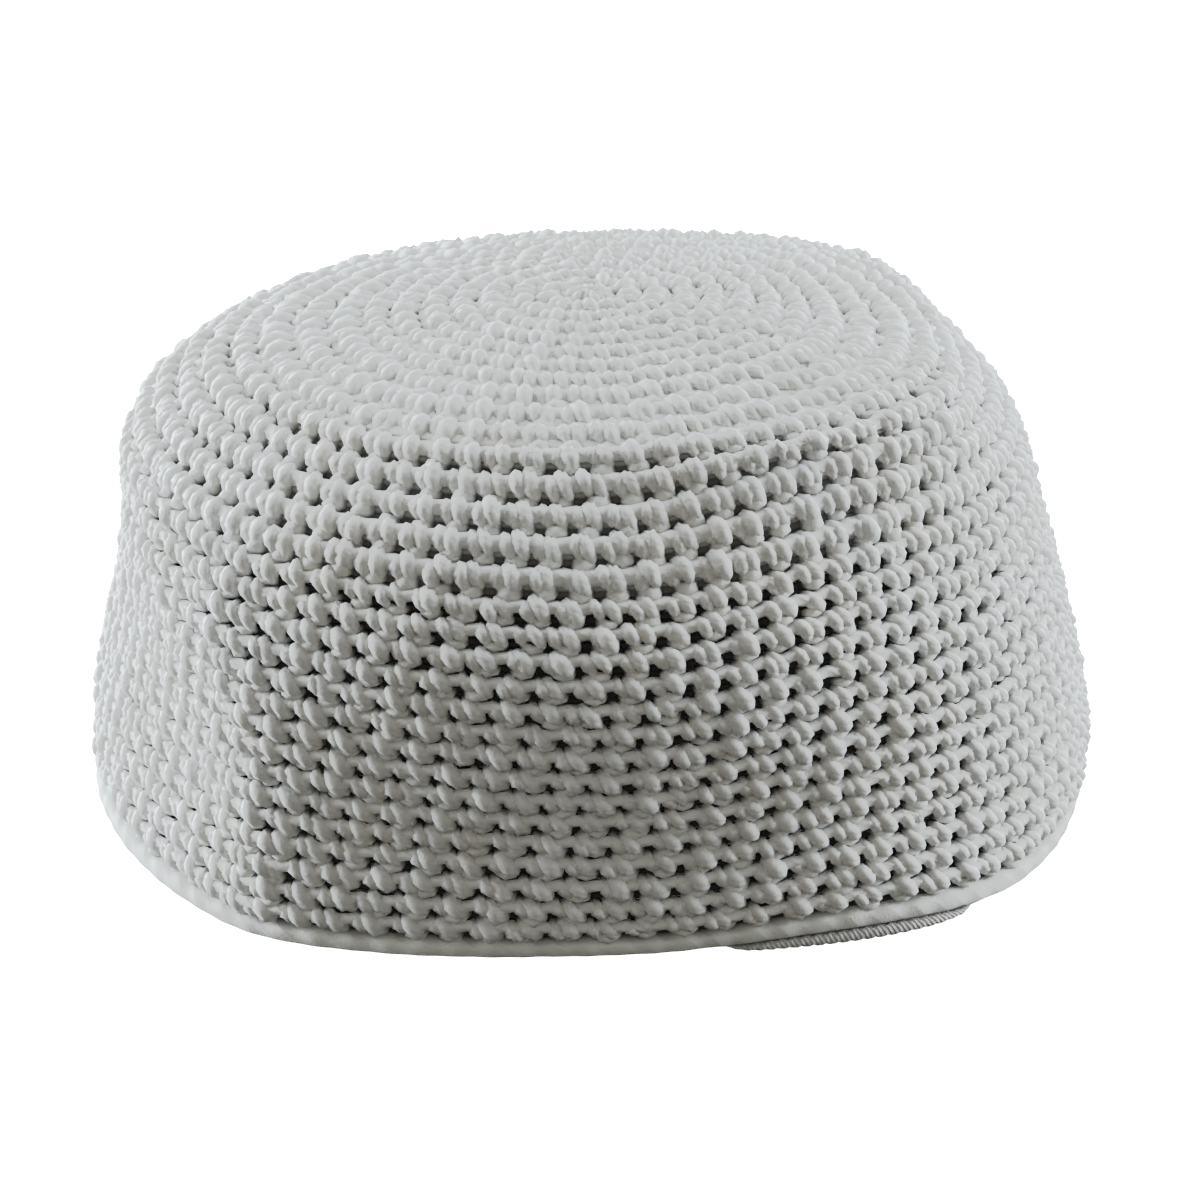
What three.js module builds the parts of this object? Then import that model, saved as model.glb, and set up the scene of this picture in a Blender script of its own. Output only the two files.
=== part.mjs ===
// A crocheted kufi: a soft brimless cap, worked in one piece from the middle of the crown down to the rim.
// Millimetres, +Z up. The rim rests on z = 0, the front is -Y, and azimuths turn from the front towards +X.
import * as THREE from "three";

// ---- Driving sizes ----
const CLOTH = 3.4; // thickness of the crocheted fabric
const GAP = 0.3; // clearance between one piece and the next
const EDGING_HEIGHT = 2.6; // the smooth finishing round along the rim
const EDGING_DEPTH = 3.8; // how far the finishing round reaches in from the outer face
const EDGING_ROUNDING = 0.8; // its softened edges
const HEM_THICKNESS = 1.8; // the turned-in strip
const HEM_HEIGHT = 9;
const CROWN_HEIGHT = 91; // the middle of the crown above the surface that the cap rests on

// The rim lifts off the surface in one place, where the turned-in strip comes out below it.
const LIFT = 2.7; // the rim's highest point there
const LIFT_AZIMUTH = 26;
const LIFT_SPREAD = 26; // degrees from the middle of the lift to where it has faded
const LIFT_FADES_AT = 24; // height at which the wall no longer follows the lift
const LIP_SLOPE = 0.5; // the top of the strip's lip slopes down by this much as it reaches out

// The outer face's plan at each height: its reach from the axis in eight directions, and how far the
// tight fold at the left front stands out of the smooth curve through them.
const DIRECTIONS = ["back", "backLeft", "left", "frontLeft", "front", "frontRight", "right", "backRight"];
const COLUMNS = ["height", ...DIRECTIONS, "fold"];
const SECTIONS = [
  [0, 82, 97, 103, 100, 84, 93, 89, 93, 2],
  [8, 85, 98, 103, 97, 86, 92, 91, 92, 6],
  [22, 86, 97, 101, 93, 86, 89, 88, 91, 8],
  [38, 87, 96, 96, 93, 88, 87, 83, 88, 7],
  [53, 86, 94, 92, 94, 87, 82, 78, 83, 4],
  [67, 80, 88, 91, 90, 79, 75, 73, 77, 1],
  [77, 70, 77, 81, 77, 70, 70, 63, 71, 0],
  [84, 57, 60, 62, 59, 59, 61, 50, 62, 0],
].map((row) => Object.fromEntries(row.map((value, column) => [COLUMNS[column], value])));
const FOLD_AZIMUTH = -38; // the tight fold, from the rim up
const FOLD_UPRIGHT = 40; // it runs straight up to this height
const FOLD_LEAN = -0.25; // degrees that it turns towards the left for each millimetre above that
const FOLD_SPREAD = 11; // degrees over which it dies away on either side
const FOLD_SOFTNESS = 1.5; // degrees over which its crest is rounded

// ---- Facets ----
const AROUND = 80;
const FACET = 360 / AROUND;
const FIRST_AZIMUTH = FOLD_AZIMUTH % FACET; // so that a line of facet corners runs along the fold's crest
const STEPS = 3; // rings for each section
const SLOPE_STEP = 0.01; // the small step that measures the face's slope

const YARN = new THREE.MeshStandardMaterial({ color: 0xd9dad6, roughness: 0.95, metalness: 0 });
const EDGING_YARN = new THREE.MeshStandardMaterial({ color: 0xdedfdb, roughness: 0.92, metalness: 0 });
const HEM_YARN = new THREE.MeshStandardMaterial({ color: 0xb9b9b6, roughness: 0.95, metalness: 0 });

// ---- The outer face ----

// A smooth curve through four equally spaced values, between the middle two.
function smooth(before, from, to, after, t) {
  const bend = 2 * before - 5 * from + 4 * to - after;
  const twist = 3 * from - before - 3 * to + after;
  return from + 0.5 * t * (to - before + t * (bend + t * twist));
}

// A section's reach at an azimuth in degrees. Reciprocals are blended, which keeps a flat panel flat.
function reach(section, azimuth) {
  const place = (((azimuth + 180) % 360) + 360) % 360 / 45;
  const first = Math.floor(place);
  const [before, from, to, after] = [-1, 0, 1, 2].map(
    (step) => 1 / section[DIRECTIONS[(first + step + DIRECTIONS.length) % DIRECTIONS.length]],
  );
  return 1 / smooth(before, from, to, after, place - first);
}

// A value of the sections at a level, which counts sections up from the rim; the last level is the pole.
function alongWall(level, valueOf, atPole, beyondPole) {
  const first = Math.min(Math.floor(level), SECTIONS.length - 1);
  const at = (index) => {
    if (index < 0) return 2 * valueOf(SECTIONS[0]) - valueOf(SECTIONS[1]);
    if (index < SECTIONS.length) return valueOf(SECTIONS[index]);
    return index === SECTIONS.length ? atPole : beyondPole;
  };
  return smooth(at(first - 1), at(first), at(first + 1), at(first + 2), level - first);
}

function heightAt(level) {
  return alongWall(level, (section) => section.height, CROWN_HEIGHT, SECTIONS.at(-1).height);
}

function radiusAt(level, azimuth) {
  const last = reach(SECTIONS.at(-1), azimuth);
  const plain = alongWall(level, (section) => reach(section, azimuth), 0, -last);
  const fold = alongWall(level, (section) => section.fold, 0, 0);
  const leaned = FOLD_LEAN * Math.max(0, heightAt(level) - FOLD_UPRIGHT);
  const turned = azimuth - FOLD_AZIMUTH - leaned;
  const away = Math.hypot(turned, FOLD_SOFTNESS) - FOLD_SOFTNESS;
  return plain + fold * Math.exp(-away / FOLD_SPREAD);
}

// How far the rim is lifted at an azimuth.
function liftAt(azimuth) {
  const away = Math.min(1, Math.abs(azimuth - LIFT_AZIMUTH) / LIFT_SPREAD);
  return LIFT * (1 - away * away) ** 2;
}

function outerFace(level, azimuth) {
  const radius = radiusAt(level, azimuth);
  const angle = THREE.MathUtils.degToRad(azimuth);
  const height = heightAt(level);
  const kept = 1 - THREE.MathUtils.smoothstep(height, 0, LIFT_FADES_AT);
  const lifted = height + liftAt(azimuth) * kept;
  return new THREE.Vector3(radius * Math.sin(angle), -radius * Math.cos(angle), lifted);
}

// The outer face's outward direction.
function outward(level, azimuth) {
  if (level > SECTIONS.length - SLOPE_STEP) return new THREE.Vector3(0, 0, 1);
  const up = outerFace(level + SLOPE_STEP, azimuth).sub(outerFace(level, azimuth));
  const along = outerFace(level, azimuth + 1).sub(outerFace(level, azimuth - 1));
  return along.cross(up).normalize();
}

// A point inside the cloth, measured straight in from the outer face.
function inCloth(level, azimuth, depth) {
  return outerFace(level, azimuth).addScaledVector(outward(level, azimuth), -depth);
}

// A point at the same depth from the outer face, at a stated height.
function insideWall(height, azimuth, depth) {
  const level = levelAt(height);
  const out = outward(level, azimuth).setZ(0);
  return outerFace(level, azimuth).addScaledVector(out, -depth / out.lengthSq()).setZ(height);
}

// The level whose section lies at a height.
function levelAt(height) {
  let [low, high] = [0, SECTIONS.length];
  while (high - low > 1e-5) {
    const middle = (low + high) / 2;
    if (heightAt(middle) < height) low = middle;
    else high = middle;
  }
  return low;
}

// ---- Solids ----

// A ring or a shell: a lathe of a closed profile, with each vertex then moved to its place on the cap.
// place takes the profile point's index and the azimuth in degrees.
function shapedLathe(profile, place) {
  const lathe = new THREE.LatheGeometry(profile, AROUND);
  const position = lathe.getAttribute("position");
  for (let vertex = 0; vertex < position.count; vertex++) {
    const turn = Math.floor(vertex / profile.length) % AROUND;
    const azimuth = FIRST_AZIMUTH + turn * FACET - (turn * 2 > AROUND ? 360 : 0);
    const at = place(vertex % profile.length, azimuth);
    position.setXYZ(vertex, at.x, at.y, at.z);
  }
  lathe.computeVertexNormals();
  return lathe;
}

function named(name, geometry, material) {
  const mesh = new THREE.Mesh(geometry, material);
  mesh.name = name;
  return mesh;
}

// Crown and side wall: the fabric's inner face from the pole down to the rim, and its outer face back up.
function capBody() {
  const rim = levelAt(EDGING_HEIGHT + GAP);
  const rings = SECTIONS.length * STEPS;
  const levelOf = (ring) => rim + ((SECTIONS.length - rim) * ring) / rings;
  const levels = Array.from({ length: rings + 1 }, (_, ring) => levelOf(ring));
  const inner = levels.toReversed().map((level) => ({ level, depth: CLOTH }));
  const outer = levels.map((level) => ({ level, depth: 0 }));
  const wall = [...inner, ...outer];
  const profile = wall.map(({ level, depth }) => {
    const radius = level === SECTIONS.length ? 0 : SECTIONS.length - level;
    return new THREE.Vector2(radius, -depth);
  });
  return shapedLathe(profile, (index, azimuth) => {
    const { level, depth } = wall[index];
    const at = inCloth(level, azimuth, depth);
    if (level === rim) at.z = outerFace(rim, azimuth).z;
    return at;
  });
}

// A ring along the rim: its section is a list of places, each a depth in from the outer face and a height.
function rimRing(sectionAt) {
  const profile = sectionAt(0).map(({ depth, height }) => new THREE.Vector2(100 - depth, height));
  profile.push(profile[0].clone());
  return shapedLathe(profile, (index, azimuth) => {
    const section = sectionAt(azimuth);
    const { depth, height } = section[index % section.length];
    return insideWall(height, azimuth, depth);
  });
}

function rimEdging() {
  const [high, deep, soft] = [EDGING_HEIGHT, EDGING_DEPTH, EDGING_ROUNDING];
  const corners = [
    { depth: soft, height: 0 },
    { depth: 0, height: soft },
    { depth: 0, height: high - soft },
    { depth: soft, height: high },
    { depth: deep - soft, height: high },
    { depth: deep, height: high - soft },
    { depth: deep, height: soft },
    { depth: deep - soft, height: 0 },
  ];
  return rimRing((azimuth) => {
    const lift = liftAt(azimuth);
    return corners.map(({ depth, height }) => ({ depth, height: height + lift }));
  });
}

// The turned-in strip, with a lip that reaches out under the rim where the rim is lifted.
function innerHem() {
  const outside = EDGING_DEPTH + GAP;
  const inside = outside + HEM_THICKNESS;
  return rimRing((azimuth) => {
    const lift = liftAt(azimuth);
    const lipTop = Math.max(LIP_SLOPE, lift - GAP - LIP_SLOPE);
    const out = THREE.MathUtils.smoothstep(lift, GAP + 2 * LIP_SLOPE, GAP + 3 * LIP_SLOPE);
    const lip = THREE.MathUtils.lerp(outside, GAP, out);
    return [
      { depth: inside, height: 0 },
      { depth: lip, height: 0 },
      { depth: lip, height: lipTop },
      { depth: outside, height: lipTop + LIP_SLOPE },
      { depth: outside, height: HEM_HEIGHT },
      { depth: inside, height: HEM_HEIGHT },
    ];
  });
}

const kufi = new THREE.Group();
kufi.name = "crocheted_kufi";
kufi.add(named("cap_body", capBody(), YARN));
kufi.add(named("rim_edging", rimEdging(), EDGING_YARN));
kufi.add(named("inner_hem", innerHem(), HEM_YARN));

// The origin is under the middle of the cap's box, on the surface that it rests on.
const middle = new THREE.Box3().setFromObject(kufi).getCenter(new THREE.Vector3());
kufi.position.set(-middle.x, -middle.y, 0);

export default kufi;
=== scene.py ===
# %% [markdown]
# # A crocheted kufi
#
# A kufi is a soft cap without a brim. This one is crocheted in the round from thick off-white cotton yarn:
# it starts as a small ring in the middle of the crown, grows by about six stitches a round until it is as
# wide as the head, and then goes straight down to the rim. The wall leans and dents where the soft cloth
# gives way.
#
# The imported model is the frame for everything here. It gives the cloth's outer face, the rim's edging and
# the turned-in hem as plain solids, in metres. This script lays real strands of yarn over them.

# %% Load the frame
import math

import bpy
import numpy as np
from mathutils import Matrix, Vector
from mathutils.bvhtree import BVHTree


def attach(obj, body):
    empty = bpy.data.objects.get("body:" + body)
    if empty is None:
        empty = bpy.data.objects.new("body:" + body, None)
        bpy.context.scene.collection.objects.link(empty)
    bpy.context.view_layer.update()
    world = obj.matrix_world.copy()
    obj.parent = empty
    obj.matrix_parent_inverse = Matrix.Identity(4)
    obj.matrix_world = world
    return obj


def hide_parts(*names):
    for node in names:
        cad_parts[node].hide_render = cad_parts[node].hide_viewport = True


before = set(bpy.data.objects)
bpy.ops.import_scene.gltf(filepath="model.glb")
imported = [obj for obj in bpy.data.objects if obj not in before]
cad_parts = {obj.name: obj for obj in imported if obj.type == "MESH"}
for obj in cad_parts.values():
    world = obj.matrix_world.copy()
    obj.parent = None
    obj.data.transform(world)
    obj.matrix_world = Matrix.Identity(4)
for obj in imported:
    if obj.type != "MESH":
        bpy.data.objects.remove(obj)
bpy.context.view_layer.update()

# %% [markdown]
# ## The sizes that drive the cloth
#
# Single crochet makes a grid of small knots: so many stitches round, and so many rounds from the rim to the
# middle of the crown. A crocheter would write these numbers down as the pattern. The rounds are closer
# together on the wall, which is pulled flat, than on the crown. On the crown each round has about six
# stitches fewer than the one outside it, which is what makes it a flat disc.

# %% The pattern
MM = 0.001
FULL_TURN = 2 * math.pi
STITCHES = 92  # stitches round the wall
STITCH_WIDTH = 6.0  # millimetres, for an unstretched stitch
ROUND_HEIGHT = 4.4
CROWN_STITCH_WIDTH = 5.3
SLANT = 0.155  # each round sits this much of a stitch further on than the round below it

# From the rim to the middle of the crown. Loops that aren't pulled flat swell, and draw together like the
# strands of a rope.
BANDS = [
    # name, rounds, their height in millimetres, how plump the loops are, how squat
    ("wall", 15, 4.2, 1.06, 1.0),
    ("shoulder", 5, 5.3, 1.24, 0.80),
    ("crown_edge", 3, 6.0, 1.35, 0.80),
    ("crown", 8, 5.0, 1.2, 0.85),
]
RIM_TO_FIRST_ROUND = 0.6  # millimetres of cloth below the first round

heights = [RIM_TO_FIRST_ROUND]
bands, plumpness, squatness = [], [], []
for name, rounds, height, plump, squat in BANDS:
    heights += [heights[-1] + height * (step + 1) for step in range(rounds)]
    bands += [name] * rounds
    plumpness += [plump] * rounds
    squatness += [squat] * rounds
ROUND_EDGES = np.array(heights) / heights[-1]
ROUNDS = len(ROUND_EDGES) - 1
print(ROUNDS, "rounds over", round(heights[-1]), "mm of cloth")

# %% [markdown]
# ## Finding the cloth
#
# The strands have to follow the cap's leaning walls, its dents and its tight fold. One way is to model a
# curved sheet by hand, but the frame already holds the right shape. Rays are shot at it from outside,
# towards a point inside the hollow, and each gives a point on the outer face. The rays of one azimuth, from
# the rim up to the middle of the crown, are then spaced out evenly along the cloth. That gives a grid, like
# graph paper laid over the cap, with a place, an outward direction and a length for every line.

# %% Shoot rays at the cloth
AZIMUTHS = 240
STEPS = 120
CROWN_MIDDLE = Vector((0, -0.007, 0))  # where the crocheting started
EYE = CROWN_MIDDLE + Vector((0, 0, 0.028))
FAR = 0.3
UNDERSIDE = -0.7  # a face that looks down more than this is the rim's underside
ABOVE_RIM = math.radians(85)  # tilts that are surely above and below the rim
BELOW_RIM = math.radians(135)
HALVINGS = 16

cloth_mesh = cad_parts["cap_body"].data
cloth_tree = BVHTree.FromPolygons(
    [tuple(v.co) for v in cloth_mesh.vertices], [tuple(p.vertices) for p in cloth_mesh.polygons]
)


def hit(azimuth, tilt):
    """The point of the outer face in that direction from the eye, or None below the rim."""
    out = Vector((
        math.sin(tilt) * math.sin(azimuth),
        -math.sin(tilt) * math.cos(azimuth),
        math.cos(tilt),
    ))
    point, facing, _, _ = cloth_tree.ray_cast(EYE + out * FAR, -out, FAR)
    return None if point is None or facing.z < UNDERSIDE else point


def lowest_tilt(azimuth):
    """The tilt of the ray that just meets the rim."""
    found, missed = ABOVE_RIM, BELOW_RIM
    for _ in range(HALVINGS):
        middle = (found + missed) / 2
        if hit(azimuth, middle):
            found = middle
        else:
            missed = middle
    return found


def even_line(azimuth):
    """Points at even spacing up the cloth, from the rim to the middle of the crown, and the line's length."""
    tilts = np.linspace(lowest_tilt(azimuth), 0, STEPS + 1)
    line = np.array([hit(azimuth, tilt) for tilt in tilts])
    lengths = np.concatenate([[0], np.cumsum(np.linalg.norm(np.diff(line, axis=0), axis=1))])
    even = np.linspace(0, lengths[-1], STEPS + 1)
    return np.stack([np.interp(even, lengths, line[:, axis]) for axis in range(3)], axis=1), lengths[-1]


lines = [even_line(FULL_TURN * turn / AZIMUTHS) for turn in range(AZIMUTHS)]
grid = np.array([line for line, _ in lines])
line_lengths = np.array([length for _, length in lines])
print("cloth from rim to crown, in mm:", round(line_lengths.min() / MM), "to", round(line_lengths.max() / MM))

# %% [markdown]
# The frame's cloth has flat facets. Averaging each grid point with its neighbours rounds them off. The
# outward direction at a point is square to the two grid lines through it, and at the middle of the crown,
# where all the lines meet, it is simply up.


# %% Smooth the grid and find its outward directions
def soften(values, times):
    """Averages a grid with its neighbours, round the cap and along the cloth."""
    for _ in range(times):
        values = (np.roll(values, 1, axis=0) + 2 * values + np.roll(values, -1, axis=0)) / 4
        inner = (values[:, :-2] + 2 * values[:, 1:-1] + values[:, 2:]) / 4
        values = np.concatenate([values[:, :1], inner, values[:, -1:]], axis=1)
    return values


def unit(vectors):
    return vectors / np.maximum(np.linalg.norm(vectors, axis=-1, keepdims=True), 1e-12)


grid = soften(grid, 2)
upward = unit(np.gradient(grid, axis=1))
sideways = unit(np.roll(grid, -1, axis=0) - np.roll(grid, 1, axis=0))
outward = unit(np.cross(sideways, upward))
outward[:, -2:] = (0, 0, 1)
outward = unit(soften(outward, 3))
print("grid of", grid.shape[0], "by", grid.shape[1], "points")


# %% [markdown]
# `place` is the one bridge between flat and curved. A strand is first drawn on flat cloth, where its place
# is an azimuth, a share of the way up, and a height above the face. `place` then lifts all of its points
# onto the cap at once. Below the rim it carries on in a straight line.


# %% Lay flat points on the cap
def look_up(values, azimuth, share):
    """Reads a grid between its lines. The azimuth is in radians and wraps round."""
    across = azimuth / FULL_TURN * AZIMUTHS
    along = np.clip(share, 0, 1) * STEPS
    left, low = np.floor(across).astype(int), np.minimum(np.floor(along).astype(int), STEPS - 1)
    fx, fy = (across - left)[..., None], (along - low)[..., None]
    left, right = left % AZIMUTHS, (left + 1) % AZIMUTHS
    below = values[left, low] * (1 - fx) + values[right, low] * fx
    above = values[left, low + 1] * (1 - fx) + values[right, low + 1] * fx
    return below * (1 - fy) + above * fy


def place(azimuth, share, out):
    """Points on the cap: out is in metres above the outer face."""
    at = look_up(grid, azimuth, share)
    below_rim = np.minimum(share, 0)[..., None] * line_lengths.mean()
    return (
        at
        + look_up(upward, azimuth, share) * below_rim
        + unit(look_up(outward, azimuth, share)) * np.asarray(out)[..., None]
    )


# %% [markdown]
# ## Sweeping yarn
#
# Every strand is a tube. Blender can bevel a curve, but some six thousand small loops are quicker and
# lighter as one mesh from arrays. `sweep` takes many paths at once, in flat millimetres, and puts a ring of
# points round each point of each path. The tube's own map runs round the yarn and along it, which the twist
# of the plies needs later.


# %% Sweep tubes along many paths
def sweep(paths, radii, sides, sideways):
    """Tubes along paths (tube, point, xyz). radii are per point."""
    tangent = unit(np.gradient(paths, axis=1))
    reference = np.broadcast_to(np.array(sideways, float), paths.shape)
    across = unit(reference - (reference * tangent).sum(-1, keepdims=True) * tangent)
    over = np.cross(tangent, across)
    angle = FULL_TURN * np.arange(sides) / sides
    ring = across[:, :, None] * np.cos(angle)[:, None] + over[:, :, None] * np.sin(angle)[:, None]
    ring = ring * np.asarray(radii)[..., None, None]
    return paths[:, :, None] + ring


def tube_faces(tubes, points, sides, closed):
    """Quads between the rings of each tube, with each corner's place round and along the tube."""
    rows = points if closed else points - 1
    row, side = np.meshgrid(np.arange(rows), np.arange(sides), indexing="ij")
    corners = [(0, 0), (0, 1), (1, 1), (1, 0)]
    quads = np.stack([((row + up) % points) * sides + (side + turn) % sides for up, turn in corners], -1)
    marks = np.stack([np.stack([(side + turn) / sides, row + up], -1) for up, turn in corners], -2)
    quads, marks = quads.reshape(-1, 4), marks.reshape(-1, 4, 2)
    first = (np.arange(tubes) * points * sides)[:, None, None]
    return (quads + first).reshape(-1, 4), np.tile(marks, (tubes, 1, 1))


def end_faces(tubes, points, sides):
    """A lid on each end of each tube."""
    near = np.arange(sides)[::-1]
    lids = np.stack([near, (points - 1) * sides + np.arange(sides)])
    first = (np.arange(tubes) * points * sides)[:, None, None]
    return (lids + first).reshape(-1, sides)


class Yarn:
    """Collects tubes, and turns them into one mesh at the end."""

    def __init__(self):
        self.points, self.faces, self.marks, self.pits, self.count = [], [], [], [], 0

    def add(self, rings, along, closed=False, pit=0.0):
        """rings are placed tubes (tube, point, side, xyz), and along is a strand's length per step in mm.
        The last argument is painted shade: 1 deep in the cloth, where no light gets to, and 0 on its faces."""
        tubes, points, sides, _ = rings.shape
        quads, marks = tube_faces(tubes, points, sides, closed)
        self.faces += (quads + self.count).tolist()
        self.marks.append((marks * (1, along)).reshape(-1, 2))
        if not closed:
            self.faces += (end_faces(tubes, points, sides) + self.count).tolist()
            self.marks.append(np.zeros((2 * tubes * sides, 2)))
        self.points.append(rings.reshape(-1, 3))
        self.pits.append(np.broadcast_to(pit, rings.shape[:-1]).ravel())
        self.count += tubes * points * sides

    def piece(self, name, node, material):
        """Makes the mesh, rides it on the cap and hides the CAD node that it takes the place of."""
        mesh = bpy.data.meshes.new(name)
        mesh.from_pydata(np.concatenate(self.points).tolist(), [], self.faces)
        mesh.uv_layers.new(name="strand").data.foreach_set("uv", np.concatenate(self.marks).ravel())
        # The painted shade of every point goes onto the mesh, where the yarn's material reads it.
        depth = mesh.attributes.new("pit", "FLOAT", "POINT")
        depth.data.foreach_set("value", np.concatenate(self.pits).astype(np.float32))
        mesh.shade_smooth()
        mesh.materials.append(material)
        made = bpy.data.objects.new(name, mesh)
        bpy.context.scene.collection.objects.link(made)
        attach(made, "root")
        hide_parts(node)
        triangles = sum(len(face) - 2 for face in self.faces)
        print(name, "has", triangles, "triangles")
        return made


# %% [markdown]
# ## The yarn's look
#
# Cotton yarn is matte, and a bundle of plies twisted round each other. Close up it has three things: the
# fine groove between plies, loose fibres that blur every edge, and patches where the cotton is a little
# creamier or greyer. All three are in one node group, because the cloth, the edging and the hem are the
# same yarn. The group also holds painted shade: it darkens the colour of strands deep in the cloth, where
# no light gets to. The hem's copy of the yarn is painted darker all over, as painted shade for the shadow
# under the rim, and the edging's is a touch lighter. The group only puts out what varies over the surface.
# What is the same everywhere, such as the sheen, is set on each material's own shader.


# %% Build the yarn's node group
# A mix node has a set of sockets for each kind of value. These are the places of its colour ones.
COLOUR_A, COLOUR_B, COLOUR_RESULT = 6, 7, 2


def yarn_group():
    group = bpy.data.node_groups.new("cotton_yarn", "ShaderNodeTree")
    for name, kind, value in [
        ("Colour", "NodeSocketColor", (0.8, 0.8, 0.8, 1)),
        ("Grey patches", "NodeSocketColor", (0.7, 0.7, 0.7, 1)),
        ("Plies", "NodeSocketFloat", 3),
        ("Twist per mm", "NodeSocketFloat", 0.25),
        ("Ply depth", "NodeSocketFloat", 0.3),
        ("Fibre depth", "NodeSocketFloat", 0.3),
        ("Painted shade colour", "NodeSocketColor", (0.03, 0.03, 0.03, 1)),
    ]:
        socket = group.interface.new_socket(name=name, in_out="INPUT", socket_type=kind)
        socket.default_value = value
    group.interface.new_socket(name="Colour", in_out="OUTPUT", socket_type="NodeSocketColor")
    group.interface.new_socket(name="Height", in_out="OUTPUT", socket_type="NodeSocketFloat")

    nodes, links = group.nodes, group.links
    given, result = nodes.new("NodeGroupInput"), nodes.new("NodeGroupOutput")
    strand = nodes.new("ShaderNodeUVMap")
    strand.uv_map = "strand"
    split = nodes.new("ShaderNodeSeparateXYZ")
    links.new(strand.outputs["UV"], split.inputs[0])

    def calculate(operation, first, second):
        node = nodes.new("ShaderNodeMath")
        node.operation = operation
        for socket, value in zip(node.inputs, (first, second)):
            if isinstance(value, bpy.types.NodeSocket):
                links.new(value, socket)
            elif value is not None:
                socket.default_value = value
        return node.outputs[0]

    def mix_colours(factor, first, second):
        node = nodes.new("ShaderNodeMix")
        node.data_type = "RGBA"
        links.new(factor, node.inputs[0])
        links.new(first, node.inputs[COLOUR_A])
        links.new(second, node.inputs[COLOUR_B])
        return node.outputs[COLOUR_RESULT]

    # The plies: ridges that wind round the strand as they go along it.
    round_it = calculate("MULTIPLY", split.outputs[0], given.outputs["Plies"])
    along_it = calculate("MULTIPLY", split.outputs[1], given.outputs["Twist per mm"])
    phase = calculate("MULTIPLY", calculate("ADD", round_it, along_it), math.pi)
    ridge = calculate("ABSOLUTE", calculate("SINE", phase, None), None)
    ply = calculate("MULTIPLY", ridge, given.outputs["Ply depth"])

    # The fibres: fine noise, in metres on the cap itself.
    where = nodes.new("ShaderNodeTexCoord").outputs["Object"]

    def noise(per_metre, detail):
        node = nodes.new("ShaderNodeTexNoise")
        node.inputs["Scale"].default_value = per_metre
        node.inputs["Detail"].default_value = detail
        links.new(where, node.inputs["Vector"])
        return node.outputs["Fac"]

    fibre = calculate("MULTIPLY", noise(2600, 4), given.outputs["Fibre depth"])
    links.new(calculate("ADD", ply, fibre), result.inputs["Height"])

    # The patches: soft noise about as large as three stitches.
    spread = nodes.new("ShaderNodeMapRange")
    spread.inputs["From Min"].default_value = 0.4
    spread.inputs["From Max"].default_value = 0.65
    links.new(noise(60, 3), spread.inputs["Value"])
    patched = mix_colours(spread.outputs[0], given.outputs["Colour"], given.outputs["Grey patches"])

    # Painted shade: no light reaches the strands deep in the cloth, so their colour is mixed towards a dark
    # one.
    pit = nodes.new("ShaderNodeAttribute")
    pit.attribute_name = "pit"
    darkened = mix_colours(pit.outputs["Fac"], patched, given.outputs["Painted shade colour"])
    links.new(darkened, result.inputs["Colour"])
    return group


YARN_GROUP = yarn_group()
print("cotton_yarn has", len(YARN_GROUP.nodes), "nodes")

# %% [markdown]
# Each material places the group with its own values, and a bump node turns its height into a normal. The
# sheen is the light that loose fibres catch at the edge of every strand.


# %% Make the yarns
def yarn_material(name, colour, patches, plies, twist, ply_depth, fibre_depth):
    material = bpy.data.materials.new(name)
    material.use_nodes = True
    nodes, links = material.node_tree.nodes, material.node_tree.links
    shader = nodes["Principled BSDF"]
    shader.inputs["Roughness"].default_value = 0.95
    shader.inputs["Specular IOR Level"].default_value = 0.2
    shader.inputs["Sheen Weight"].default_value = 0.05
    shader.inputs["Sheen Roughness"].default_value = 0.6
    yarn = nodes.new("ShaderNodeGroup")
    yarn.node_tree = YARN_GROUP
    yarn.inputs["Colour"].default_value = (*colour, 1)
    yarn.inputs["Grey patches"].default_value = (*patches, 1)
    yarn.inputs["Plies"].default_value = plies
    yarn.inputs["Twist per mm"].default_value = twist
    yarn.inputs["Ply depth"].default_value = ply_depth
    yarn.inputs["Fibre depth"].default_value = fibre_depth
    bump = nodes.new("ShaderNodeBump")
    bump.inputs["Distance"].default_value = 0.3 * MM
    bump.inputs["Strength"].default_value = 0.8
    links.new(yarn.outputs["Colour"], shader.inputs["Base Color"])
    links.new(yarn.outputs["Height"], bump.inputs["Height"])
    links.new(bump.outputs["Normal"], shader.inputs["Normal"])
    return material


CLOTH_YARN = yarn_material("off_white_yarn", (0.71, 0.71, 0.695), (0.68, 0.67, 0.64), 3, 0.35, 0.6, 0.5)
EDGING_YARN = yarn_material("edging_yarn", (0.73, 0.73, 0.70), (0.68, 0.68, 0.65), 3, 0.25, 0.4, 0.5)
# The hem's yarn is the cloth's yarn painted darker, as painted shade for the shadow it lies in under the rim.
HEM_YARN_PAINTED_SHADE = yarn_material("hem_yarn", (0.50, 0.49, 0.47), (0.42, 0.41, 0.40), 4, 1.1, 1.0, 0.5)
print("made", CLOTH_YARN.name, EDGING_YARN.name, HEM_YARN_PAINTED_SHADE.name)

# %% [markdown]
# ## One stitch
#
# Seen with the crown up, a single crochet stitch is two plump loops of yarn that lean to the left as they
# rise. The left one is short. The right one is longer and thicker, and starts further down at the right.
# Both dive back into the cloth at their ends. A low bar closes the foot of the stitch. A small hole is left
# at each lower corner, between one stitch's long loop and the next stitch's short one.
#
# The paths below are drawn in one stitch's own units: how far along the stitch, how far up the round, and
# millimetres out of the cloth's face. The last column is the yarn's radius there.

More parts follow.
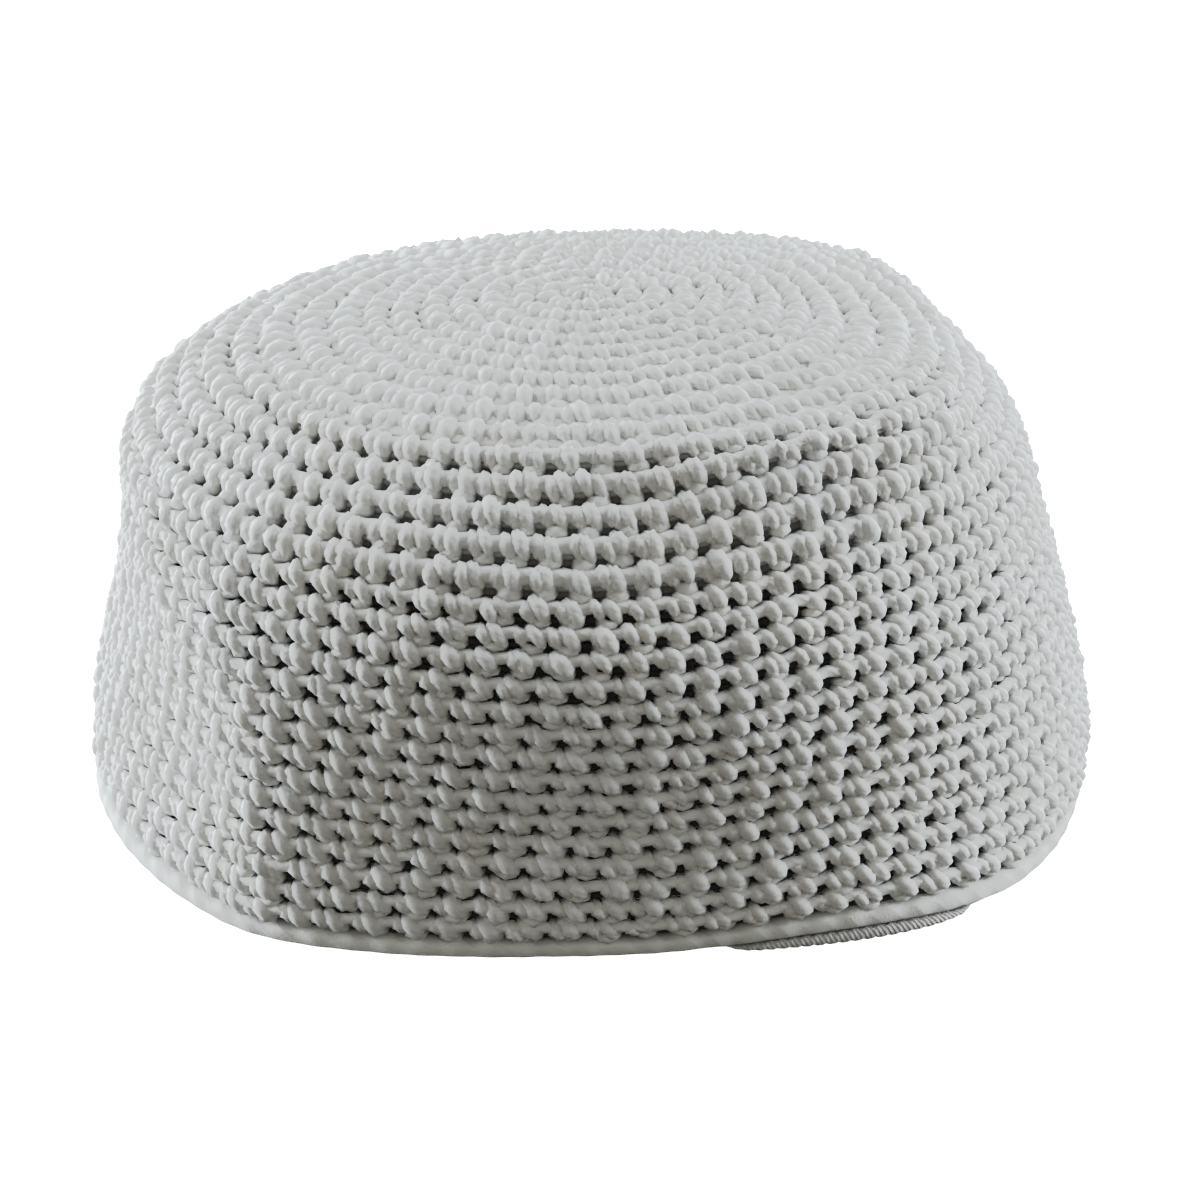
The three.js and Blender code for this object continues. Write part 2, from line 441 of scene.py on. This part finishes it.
# %% Draw the loops of a stitch
SHORT_LOOP = [
    # along, up, out, radius
    (0.31, 0.22, -2.40, 0.55),
    (0.28, 0.34, -1.40, 0.80),
    (0.20, 0.52, -0.80, 1.08),
    (0.11, 0.68, -0.68, 1.15),
    (0.04, 0.84, -1.10, 0.98),
    (0.02, 0.98, -2.20, 0.65),
]
LONG_LOOP = [
    (0.26, 1.04, -2.20, 0.70),
    (0.32, 0.95, -1.25, 1.02),
    (0.42, 0.79, -0.80, 1.30),
    (0.53, 0.61, -0.74, 1.36),
    (0.62, 0.44, -0.86, 1.15),
    (0.68, 0.29, -1.35, 0.80),
    (0.70, 0.18, -2.30, 0.55),
]
LOW_BAR = [
    (0.22, 0.32, -2.70, 0.72),
    (0.33, 0.20, -1.75, 0.92),
    (0.50, 0.13, -1.40, 1.02),
    (0.65, 0.18, -1.75, 0.92),
    (0.76, 0.32, -2.70, 0.72),
]
UNEVEN = np.array([0.24, 0.20, 0.18])  # how far hand work strays, in millimetres
UNEVEN_THICKNESS = 0.09
SQUAT_MIDDLE = 0.66  # squat loops draw together towards this height

random = np.random.default_rng(7)


def stray(loop, stitches, squat):
    """One loop for each stitch, in flat millimetres, each a little different. Returns paths and radii."""
    rows = np.array(loop)
    rows[:, 1] = SQUAT_MIDDLE + (rows[:, 1] - SQUAT_MIDDLE) * squat
    paths = rows[None, :, :3] * (STITCH_WIDTH, ROUND_HEIGHT, 1)
    paths = paths + random.normal(0, 1, (stitches, 1, 3)) * UNEVEN
    paths = paths + random.normal(0, 0.4, (stitches, len(rows), 3)) * UNEVEN
    radii = rows[None, :, 3] * (1 + random.normal(0, UNEVEN_THICKNESS, (stitches, 1)))
    return paths, radii


print("a stitch has", len(SHORT_LOOP) + len(LONG_LOOP) + len(LOW_BAR), "rings of points in three strands")

# %% [markdown]
# ## Rounds of stitches
#
# A round is the same stitch again and again. The wall keeps the same number of stitches in every round, so
# they stand in columns, which lean because crochet always twists a little to one side. On the crown the
# number follows the round's circumference.
#
# Behind the stitches, the bars of each round run on from stitch to stitch and close the cloth from the
# inside. The foremost one rises a little between two stitches, over the hole. Every strand deep in the
# cloth, the bars behind the holes too, takes painted shade, so the holes look dark.


# %% Lay a round on the cap
# Heights out of the cloth's face, in millimetres, over which strands deep in the cloth take painted shade.
PIT_STARTS = -1.3  # the light begins to fade here
PIT_FADE = 0.9  # and is gone over this much more
INNER_FACE = -3.4
INNER_FADE = 0.4  # towards the inside of the cap it comes back
turn_azimuths = np.linspace(0, FULL_TURN, AZIMUTHS + 1)


def girth_at(number):
    """The distance round the middle of a round, in millimetres, from the front to each line of the grid."""
    middle = (ROUND_EDGES[number] + ROUND_EDGES[number + 1]) / 2
    ring = look_up(grid, turn_azimuths, np.full(AZIMUTHS + 1, middle))
    return np.concatenate([[0], np.cumsum(np.linalg.norm(np.diff(ring, axis=0), axis=1))]) / MM


class Round:
    """One round of the cloth: how many stitches it has, and where they are."""

    def __init__(self, number):
        self.number = number
        self.girth = girth_at(number)
        self.stitches = min(STITCHES, max(6, round(self.girth[-1] / CROWN_STITCH_WIDTH)))

    def lay(self, flat, start):
        """Lifts flat points onto the cap. start is each tube's place along the round, in stitches."""
        along = flat[..., 0] / STITCH_WIDTH + start + SLANT * self.number
        turns, part = np.divmod(along / self.stitches, 1)
        azimuth = np.interp(part * self.girth[-1], self.girth, turn_azimuths) + turns * FULL_TURN
        up = self.number + flat[..., 1] / ROUND_HEIGHT
        share = np.interp(up, np.arange(ROUNDS + 1), ROUND_EDGES)
        share = np.where(up < 0, ROUND_EDGES[0] + up * (ROUND_EDGES[1] - ROUND_EDGES[0]), share)
        return place(azimuth, share, flat[..., 2] * MM)


def pit_shade(out):
    """How much painted shade a strand gets: 1 in the depth of the cloth and 0 on its two faces, for heights
    out of the face in millimetres.
    """
    going_in = np.clip((PIT_STARTS - out) / PIT_FADE, 0, 1)
    coming_out = np.clip((out - INNER_FACE) / INNER_FADE, 0, 1)
    return going_in * coming_out


# Where the maker's hook missed a loop, a larger hole is left: the round, and the stitch in it.
MISSED_LOOPS = {13: 4, 10: 5}
LOOP_STEP = 1.2  # millimetres of yarn from one ring of points to the next
BAR_SIDES = 6


def add_stitches(yarn, this_round):
    stitches = this_round.stitches
    start = np.arange(stitches)[:, None, None]
    squat, plump = squatness[this_round.number], plumpness[this_round.number]
    for loop, sides, sideways, squash in [
        (SHORT_LOOP, 7, (1, 0, 0), squat),
        (LONG_LOOP, 8, (1, 0, 0), squat),
        (LOW_BAR, 6, (0, 1, 0), 1.0),
    ]:
        paths, radii = stray(loop, stitches, squash)
        rings = sweep(paths, radii * plump, sides, sideways)
        # Strands deep in the cloth get painted shade, by their height out of the face.
        placed, pit = this_round.lay(rings, start), pit_shade(rings[..., 2])
        if loop is SHORT_LOOP and this_round.number in MISSED_LOOPS:
            made = np.arange(stitches) != MISSED_LOOPS[this_round.number]
            placed, pit = placed[made], pit[made]
        yarn.add(placed, along=LOOP_STEP, pit=pit)


CROWN_BARS = [
    # up, swing, out, radius, steps to a stitch
    (0.72, -0.02, -1.25, 1.30, 3),
    (0.30, 0.00, -1.90, 1.25, 3),
]
BARS = {
    "wall": [
        (0.74, -0.06, -1.10, 1.08, 3),
        (0.66, 0.00, -2.75, 0.70, 2),
        (0.34, 0.00, -2.80, 0.65, 2),
        (0.04, 0.00, -2.80, 0.65, 2),
    ],
    "shoulder": [
        (0.72, -0.03, -1.05, 1.25, 3),
        (0.50, 0.00, -2.55, 0.90, 2),
        (0.25, 0.00, -2.70, 0.70, 2),
        (0.00, 0.00, -2.70, 0.70, 2),
    ],
    "crown_edge": CROWN_BARS,
    "crown": CROWN_BARS,
}


def sweep_ring(paths, radii, sides):
    """Like sweep, for a path along x that closes on itself: a ring of points stands square to x."""
    angle = FULL_TURN * np.arange(sides) / sides
    circle = np.stack([np.zeros(sides), np.cos(angle), -np.sin(angle)], -1)
    return paths[:, :, None] + circle * np.broadcast_to(radii, paths.shape[:2])[..., None, None]


def add_back_bars(yarn, this_round):
    """Bars that run all round. A swing under 0 lifts them where the holes are."""
    for up, swing, out, radius, steps in BARS[bands[this_round.number]]:
        along = np.arange(this_round.stitches * steps) / steps
        height = up - swing * np.cos(FULL_TURN * along)
        flat_out = np.full_like(along, out)
        paths = np.stack([along * STITCH_WIDTH, height * ROUND_HEIGHT, flat_out], -1)[None]
        rings = sweep_ring(paths, radius, BAR_SIDES)
        # Strands deep in the cloth get painted shade, by their height out of the face.
        placed, pit = this_round.lay(rings, 0), pit_shade(rings[..., 2])
        yarn.add(placed, along=STITCH_WIDTH / steps, closed=True, pit=pit)


# %% Crochet the cap
PIECES = [
    # name, first round, last round
    ("wall_low", 0, 5),
    ("wall_middle", 5, 10),
    ("wall_high", 10, 15),
    ("shoulder", 15, 20),
    ("crown_edge", 20, 23),
    ("crown", 23, ROUNDS),
]
for name, first, last in PIECES:
    yarn = Yarn()
    for number in range(first, last):
        this_round = Round(number)
        add_stitches(yarn, this_round)
        add_back_bars(yarn, this_round)
    yarn.piece("cloth_" + name, "cap_body", CLOTH_YARN)

# %% [markdown]
# ## The rim
#
# The last round is worked flat along the rim and gives it a smooth, plump edge. It is one soft ring here,
# with a rather square section that is a little thicker under each stitch, and uneven over a few stitches.
# The rim lifts off the table at the front right, and the ring lifts with it.

# %% Make the edging
EDGING_HEIGHT = 2.6 * MM
EDGING_DEPTH = 3.8 * MM
BODY_CLEARANCE = 0.3 * MM
EDGING_TALL = 3.3 * MM  # its yarn swells up to meet the first round
EDGING_SIDES = 16
EDGING_SQUARENESS = 0.7
EDGING_STEPS = 8  # to a stitch
STITCH_BULGE = 0.05
UNEVEN_BULGES = 34  # round the rim
UNEVEN_BULGE = 0.03


def rim_ring(azimuth, depth, height):
    """Points under the rim: depth in from the outer face, and height above the table."""
    zero = np.zeros_like(azimuth)
    rim = look_up(grid, azimuth, zero)
    down = look_up(upward, azimuth, zero)
    flat_out = look_up(outward, azimuth, zero) * (1, 1, 0)
    drop = ((height - rim[..., 2]) / down[..., 2])[..., None]
    return rim + down * drop - unit(flat_out) * np.asarray(depth)[..., None]


def rim_lift(azimuth):
    """How far the rim is off the table."""
    rim = look_up(grid, azimuth, np.zeros_like(azimuth))
    return np.maximum(rim[..., 2] - EDGING_HEIGHT - BODY_CLEARANCE, 0)


def ring_section(azimuth, depth, height, deep, tall, sides, twist=0.0, lobes=0, lobe_depth=0.0, power=1.0):
    """A soft ring along the rim as one tube: its section is an oval, or the lobed section of a twisted cord.
    A power under 1 makes the oval squarer."""
    angle = FULL_TURN * np.arange(sides) / sides
    swell = 1 + lobe_depth * np.cos(lobes * (angle - np.asarray(twist)[..., None]))
    sideways_part = np.sign(np.cos(angle)) * np.abs(np.cos(angle)) ** power
    upward_part = np.sign(np.sin(angle)) * np.abs(np.sin(angle)) ** power
    section_depth = np.asarray(depth)[..., None] - np.asarray(deep)[..., None] * sideways_part * swell
    section_height = np.asarray(height)[..., None] + np.asarray(tall)[..., None] * upward_part * swell
    wide = np.broadcast_to(azimuth[..., None], section_depth.shape)
    return rim_ring(wide, section_depth, section_height)[None]


around = FULL_TURN * np.arange(STITCHES * EDGING_STEPS) / (STITCHES * EDGING_STEPS)
bulge = 1 + STITCH_BULGE * np.cos(STITCHES * around) + UNEVEN_BULGE * np.cos(UNEVEN_BULGES * around)
band = EDGING_TALL / 2 * bulge
edging = Yarn()
edging.add(
    ring_section(
        around,
        np.full_like(around, EDGING_DEPTH / 2),
        rim_lift(around) + band,
        EDGING_DEPTH / 2 * bulge,
        band,
        EDGING_SIDES,
        power=EDGING_SQUARENESS,
    ),
    along=STITCH_WIDTH / EDGING_STEPS,
    closed=True,
)
edging.piece("edging", "rim_edging", EDGING_YARN)

# %% [markdown]
# ## The hem
#
# Inside the rim is a strip of the same yarn, turned up and worked in rounds of twisted cord. Where the rim
# lifts, the strip has slipped, and its lowest cords come out below the edging. Each cord is a tube with a
# two-lobed section that turns as it goes, so the twist is real and shows from below too. Its colour is
# painted darker than the cloth's, as painted shade for the shadow under the rim.

# %% Make the hem
CORD_TALL = 1.1 * MM
CORD_DEEP = 0.9 * MM
HEM_DEPTH = 5.0 * MM
CORD_TURN = 4.6 * MM  # length of one whole turn of the twist
CORD_STEPS = 760
CORD_SIDES = 10
CORD_LOBES = 2
CORD_LOBE_DEPTH = 0.16
HEM_CORDS = 4

LIP_DEPTHS = (0.7 * MM, 2.6 * MM)  # the cords that come out under the lifted rim
LIP_STARTS = 0.6 * MM  # lift at which they begin to come out
LIP_OUT_WITHIN = 1.0 * MM  # more lift, over which they come all the way
LIP_DEEP = 0.95 * MM
LIP_LEAST_ROOM = 0.4 * MM
LIP_LOBE_DEPTH = 0.14
TAPER_STEPS = 20
THINNEST = 0.1

around = FULL_TURN * np.arange(CORD_STEPS) / CORD_STEPS
rim_line = rim_ring(around, 0 * around, 0 * around)
rim_length = float(np.linalg.norm(np.diff(rim_line, axis=0), axis=1).sum())
turns = round(rim_length / CORD_TURN)
twist = around * turns
turn_step = 1000 * CORD_TURN * turns / CORD_STEPS
out_here = np.clip((rim_lift(around) - LIP_STARTS) / LIP_OUT_WITHIN, 0, 1)
out_here = out_here * out_here * (3 - 2 * out_here)
hem = Yarn()
for cord in range(HEM_CORDS):
    tall = np.full_like(around, CORD_TALL)
    depth = np.full_like(around, HEM_DEPTH)
    deep = np.full_like(around, CORD_DEEP)
    height = tall * (1 + 2 * cord)
    rings = ring_section(around, depth, height, deep, tall, CORD_SIDES, twist, CORD_LOBES, CORD_LOBE_DEPTH)
    hem.add(rings, along=turn_step, closed=True)
lifted = np.nonzero(out_here > 0)[0]
lip = around[lifted]
end = np.minimum(np.arange(len(lip)), np.arange(len(lip))[::-1])
taper = np.clip((end + 1) / TAPER_STEPS, THINNEST, 1)
room = np.clip(rim_lift(lip) - BODY_CLEARANCE, LIP_LEAST_ROOM, None) / 2
for lip_depth in LIP_DEPTHS:
    depth = HEM_DEPTH + (lip_depth - HEM_DEPTH) * out_here[lifted]
    deep, tall, turned = LIP_DEEP * taper, room * taper, twist[lifted]
    rings = ring_section(lip, depth, room, deep, tall, CORD_SIDES, turned, CORD_LOBES, LIP_LOBE_DEPTH)
    hem.add(rings, along=turn_step)
hem.piece("hem", "inner_hem", HEM_YARN_PAINTED_SHADE)

# %% [markdown]
# ## Table, light and camera
#
# The cap stands on a plain white sheet that curves up to a wall all round, so that it is behind the cap in
# every view. The sheet glows, which keeps it white, but throws no light on the cap. Under the cap it is
# dark. Soft light from above and behind, and from two windows at the sides, leaves the front wall in shade,
# so that every hole and every loop of the wall shows.


# %% Set the table
SHEET_GLOW = 7.0
SHEET_PROFILE = [(3, 0), (3.6, 0.15), (3.9, 0.5), (4, 1.2), (4, 4)]  # metres out, and up
SHEET_SIDES = 64
UNDER_CAP_STEPS = 240
UNDER_CAP_INSET = 2 * MM  # in from the cap's outer face
UNDER_CAP_HEIGHT = 0.02 * MM


def stage_piece(name, points, faces, glow):
    """A white piece of the set. It shows, but throws no light or shadow on the cap."""
    mesh = bpy.data.meshes.new(name)
    mesh.from_pydata(points, [], faces)
    made = bpy.data.objects.new(name, mesh)
    bpy.context.scene.collection.objects.link(made)
    material = bpy.data.materials.new("white_" + name)
    material.use_nodes = True
    shader = material.node_tree.nodes["Principled BSDF"]
    shader.inputs["Base Color"].default_value = (0.95, 0.95, 0.95, 1)
    shader.inputs["Roughness"].default_value = 0.9
    shader.inputs["Emission Color"].default_value = (1, 1, 1, 1)
    shader.inputs["Emission Strength"].default_value = glow
    material.cycles.emission_sampling = "NONE"  # it shows as white, and is no lamp
    mesh.materials.append(material)
    made.visible_diffuse = False
    made.visible_glossy = False
    made.visible_shadow = False


def table():
    """A sheet that is flat where the cap stands, and curves up to a wall all round."""
    turns = [FULL_TURN * side / SHEET_SIDES for side in range(SHEET_SIDES)]
    points = [(out * math.sin(turn), out * math.cos(turn), up) for out, up in SHEET_PROFILE for turn in turns]
    faces = [tuple(range(SHEET_SIDES))[::-1]]
    for ring in range(len(SHEET_PROFILE) - 1):
        first = ring * SHEET_SIDES
        for side in range(SHEET_SIDES):
            here, after = first + side, first + (side + 1) % SHEET_SIDES
            faces.append((here, here + SHEET_SIDES, after + SHEET_SIDES, after))
    stage_piece("table", points, faces, SHEET_GLOW)


def table_under_cap():
    """The part of the table inside the rim, where it is dark."""
    azimuth = FULL_TURN * np.arange(UNDER_CAP_STEPS) / UNDER_CAP_STEPS
    inset = np.full(UNDER_CAP_STEPS, UNDER_CAP_INSET)
    ring = rim_ring(azimuth, inset, np.full(UNDER_CAP_STEPS, UNDER_CAP_HEIGHT))
    stage_piece("table_under_cap", ring.tolist(), [tuple(range(UNDER_CAP_STEPS))], 0)


table()
table_under_cap()
print("the table's top is at z = 0")


# %% Light the cap
DAYLIGHT = (0.92, 1.0, 1.06)


def soft_light(name, azimuth, elevation, distance, size, watts, target=(0, 0, 0.04)):
    """A square soft box that faces the cap."""
    light = bpy.data.lights.new(name, "AREA")
    light.size = size
    light.energy = watts
    light.color = DAYLIGHT
    lamp = bpy.data.objects.new(name, light)
    turn, lift = math.radians(azimuth), math.radians(elevation)
    out = Vector((math.sin(turn) * math.cos(lift), -math.cos(turn) * math.cos(lift), math.sin(lift)))
    lamp.location = Vector(target) + out * distance
    lamp.rotation_mode = "QUATERNION"
    lamp.rotation_quaternion = out.to_track_quat("Z", "Y")
    bpy.context.scene.collection.objects.link(lamp)


LIGHTS = [
    # name, azimuth, elevation, distance, size, watts
    ("overhead", 180, 62, 1.2, 1.0, 15),
    ("left_window", -105, 8, 1.2, 1.0, 56),
    ("right_window", 103, 14, 1.2, 1.0, 38),
]
for light in LIGHTS:
    soft_light(*light)
print(len(LIGHTS), "soft lights")

# %% [markdown]
# The room's own light comes from its pale walls at the left, the right and the front. Each wall is a soft
# glow round one direction: the closer a ray points to that direction, the brighter it is. Nothing comes
# from below the table, so the hollow stays dark.

# %% Light the room
ROOM_WALLS = [
    # direction, brightness, colour, how sharply it fades to the sides
    ((-1, 0, 0), 0.8, DAYLIGHT, 4),
    ((1, 0, 0), 0.8, DAYLIGHT, 4),
    ((0, -1, 0), 1.5, (1.0, 0.95, 0.84), 4),
]
HORIZON_FADE = 0.1  # height over which the light fades in above the table's level
world = bpy.data.worlds.new("room")
bpy.context.scene.world = world
world.use_nodes = True
room_nodes, room_links = world.node_tree.nodes, world.node_tree.links


def room_step(kind, operation, *values):
    """A maths node of the room, with each value linked or set."""
    node = room_nodes.new(kind)
    node.operation = operation
    for socket, value in zip([socket for socket in node.inputs if socket.enabled], values):
        if isinstance(value, bpy.types.NodeSocket):
            room_links.new(value, socket)
        else:
            socket.default_value = value
    return [socket for socket in node.outputs if socket.enabled][0]


direction = room_nodes.new("ShaderNodeTexCoord").outputs["Generated"]
glow = (0, 0, 0)
for towards, brightness, colour, sharpness in ROOM_WALLS:
    facing = room_step("ShaderNodeVectorMath", "DOT_PRODUCT", direction, towards)
    faded = room_step("ShaderNodeMath", "POWER", room_step("ShaderNodeMath", "MAXIMUM", facing, 0), sharpness)
    wall = room_step("ShaderNodeVectorMath", "SCALE", [brightness * part for part in colour], faded)
    glow = room_step("ShaderNodeVectorMath", "ADD", glow, wall)
height = room_nodes.new("ShaderNodeSeparateXYZ")
room_links.new(direction, height.inputs[0])
above = room_nodes.new("ShaderNodeMapRange")
above.inputs["From Max"].default_value = HORIZON_FADE
room_links.new(height.outputs["Z"], above.inputs["Value"])
sky = room_nodes["Background"]
room_links.new(glow, sky.inputs["Color"])
room_links.new(above.outputs[0], sky.inputs["Strength"])
print(len(ROOM_WALLS), "walls of the room glow")

# %% [markdown]
# No picture can hold everything from the shaded front wall to the cloth beside the windows. The picture's
# tone curve keeps the shades as they are and draws the brightest cloth together, so that only the sheet is
# white.

# %% Set the tones
TONES = [
    # light that comes in, light in the picture
    (0.30, 0.30),
    (0.50, 0.46),
    (0.75, 0.545),
    (1.10, 0.57),
    (1.60, 0.59),
    (5.00, 0.62),
]
WHITE = 7.0  # light that is drawn as white

view = bpy.context.scene.view_settings
view.view_transform = "Standard"
view.use_curve_mapping = True
view.curve_mapping.use_clip = False
tone_curve = view.curve_mapping.curves[3]  # the one that red, green and blue share
tone_curve.points[-1].location = (WHITE, 1)
for tone in TONES:
    tone_curve.points.new(*tone)
for point in tone_curve.points:
    point.handle_type = "AUTO_CLAMPED"
view.curve_mapping.update()
print("tone curve with", len(tone_curve.points), "points")

# %% [markdown]
# The camera looks at the front wall from a little above, from less than half a metre away, so the front of
# the cap is drawn larger than the back.

# %% Set the camera
CAMERA_ELEVATION = 25
CAMERA_DISTANCE = 0.406
CAMERA_TARGET = Vector((0.0019, 0.0006, 0.0258))
SENSOR = 36
LENS = 62.15

camera = bpy.data.objects.new("camera", bpy.data.cameras.new("camera"))
camera.data.lens = LENS
camera.data.sensor_width = SENSOR
elevation = math.radians(CAMERA_ELEVATION)
back = Vector((0, -math.cos(elevation), math.sin(elevation)))
camera.location = CAMERA_TARGET + back * CAMERA_DISTANCE
camera.rotation_mode = "QUATERNION"
camera.rotation_quaternion = back.to_track_quat("Z", "Y")
bpy.context.scene.collection.objects.link(camera)
bpy.context.scene.camera = camera
print("the camera stands", round(camera.location.z / MM), "mm above the table")
